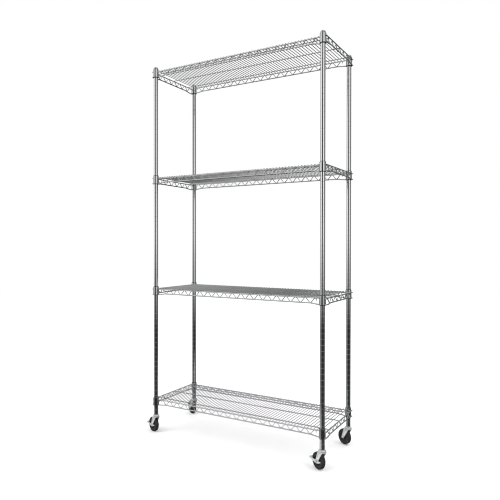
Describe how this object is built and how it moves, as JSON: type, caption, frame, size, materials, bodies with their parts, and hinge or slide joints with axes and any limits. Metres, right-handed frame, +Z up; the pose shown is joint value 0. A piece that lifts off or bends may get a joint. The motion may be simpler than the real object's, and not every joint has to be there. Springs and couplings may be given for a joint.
{
  "type": "wire shelving rack",
  "caption": "Mobile wire shelving rack: grooved posts, welded wire shelves on split sleeves, and swivel stem casters with foot brakes at the front.",
  "frame": {"origin": "on the floor, midway between the four post axes", "axes": "+X to the right of the rack, -Y its front, +Z up"},
  "size_m": [1.0412, 0.3933, 1.9258],
  "materials": {
    "post_chrome": "bright chrome-plated steel tube",
    "wire_chrome": "bright chrome-plated steel wire",
    "collar_chrome": "chrome-plated pressed steel",
    "black_plastic": "moulded plastic, satin",
    "zinc_plate": "bright zinc-plated stamping",
    "steel": "zinc-plated turned steel",
    "hub_plastic": "moulded plastic",
    "tyre_rubber": "moulded solid rubber tread"
  },
  "bodies": {
    "rack": {"post_front_left": "post_chrome", "post_front_right": "post_chrome", "post_back_left": "post_chrome", "post_back_right": "post_chrome", "post_caps": "black_plastic", "post_inserts": "steel", "shelf_top_deck_wires": "wire_chrome", "shelf_top_support_wires": "wire_chrome", "shelf_top_rails": "wire_chrome", "shelf_top_truss_wires": "wire_chrome", "shelf_top_collars": "collar_chrome", "shelf_top_sleeves": "black_plastic", "shelf_upper_deck_wires": "wire_chrome", "shelf_upper_support_wires": "wire_chrome", "shelf_upper_rails": "wire_chrome", "shelf_upper_truss_wires": "wire_chrome", "shelf_upper_collars": "collar_chrome", "shelf_upper_sleeves": "black_plastic", "shelf_lower_deck_wires": "wire_chrome", "shelf_lower_support_wires": "wire_chrome", "shelf_lower_rails": "wire_chrome", "shelf_lower_truss_wires": "wire_chrome", "shelf_lower_collars": "collar_chrome", "shelf_lower_sleeves": "black_plastic", "shelf_bottom_deck_wires": "wire_chrome", "shelf_bottom_support_wires": "wire_chrome", "shelf_bottom_rails": "wire_chrome", "shelf_bottom_truss_wires": "wire_chrome", "shelf_bottom_collars": "collar_chrome", "shelf_bottom_sleeves": "black_plastic", "caster_stems": "zinc_plate", "caster_balls": "steel"},
    "swivel_front_left": {"caster_front_left_fork": "zinc_plate", "caster_front_left_axle_bolt": "steel", "caster_front_left_axle_nut": "steel", "caster_front_left_bushing": "steel"},
    "wheel_front_left": {"caster_front_left_hub": "hub_plastic", "caster_front_left_tyre": "tyre_rubber"},
    "brake_front_left": {"brake_lever_front_left": "zinc_plate"},
    "swivel_front_right": {"caster_front_right_fork": "zinc_plate", "caster_front_right_axle_bolt": "steel", "caster_front_right_axle_nut": "steel", "caster_front_right_bushing": "steel"},
    "wheel_front_right": {"caster_front_right_hub": "hub_plastic", "caster_front_right_tyre": "tyre_rubber"},
    "brake_front_right": {"brake_lever_front_right": "zinc_plate"},
    "swivel_back_left": {"caster_back_left_fork": "zinc_plate", "caster_back_left_axle_bolt": "steel", "caster_back_left_axle_nut": "steel", "caster_back_left_bushing": "steel"},
    "wheel_back_left": {"caster_back_left_hub": "hub_plastic", "caster_back_left_tyre": "tyre_rubber"},
    "swivel_back_right": {"caster_back_right_fork": "zinc_plate", "caster_back_right_axle_bolt": "steel", "caster_back_right_axle_nut": "steel", "caster_back_right_bushing": "steel"},
    "wheel_back_right": {"caster_back_right_hub": "hub_plastic", "caster_back_right_tyre": "tyre_rubber"}
  },
  "joints": [
    {"name": "swivel_front_left", "type": "hinge", "parent": "rack", "child": "swivel_front_left", "pos_m": [-0.47, -0.169, 0.085], "axis": [0, 0, 1], "continuous": true},
    {"name": "roll_front_left", "type": "hinge", "parent": "swivel_front_left", "child": "wheel_front_left", "pos_m": [-0.49255, -0.16079, 0.0375], "axis": [-0.342, -0.9397, 0], "continuous": true},
    {"name": "brake_front_left", "type": "hinge", "parent": "swivel_front_left", "child": "brake_front_left", "pos_m": [-0.49255, -0.16079, 0.0375], "axis": [-0.342, -0.9397, 0], "range_deg": [0, 18]},
    {"name": "swivel_front_right", "type": "hinge", "parent": "rack", "child": "swivel_front_right", "pos_m": [0.47, -0.169, 0.085], "axis": [0, 0, 1], "continuous": true},
    {"name": "roll_front_right", "type": "hinge", "parent": "swivel_front_right", "child": "wheel_front_right", "pos_m": [0.44921, -0.157, 0.0375], "axis": [-0.5, -0.866, 0], "continuous": true},
    {"name": "brake_front_right", "type": "hinge", "parent": "swivel_front_right", "child": "brake_front_right", "pos_m": [0.44921, -0.157, 0.0375], "axis": [-0.5, -0.866, 0], "range_deg": [0, 18]},
    {"name": "swivel_back_left", "type": "hinge", "parent": "rack", "child": "swivel_back_left", "pos_m": [-0.47, 0.169, 0.085], "axis": [0, 0, 1], "continuous": true},
    {"name": "roll_back_left", "type": "hinge", "parent": "swivel_back_left", "child": "wheel_back_left", "pos_m": [-0.49119, 0.18027, 0.0375], "axis": [-0.4695, -0.8829, 0], "continuous": true},
    {"name": "swivel_back_right", "type": "hinge", "parent": "rack", "child": "swivel_back_right", "pos_m": [0.47, 0.169, 0.085], "axis": [0, 0, 1], "continuous": true},
    {"name": "roll_back_right", "type": "hinge", "parent": "swivel_back_right", "child": "wheel_back_right", "pos_m": [0.44843, 0.17952, 0.0375], "axis": [-0.4384, -0.8988, 0], "continuous": true}
  ]
}
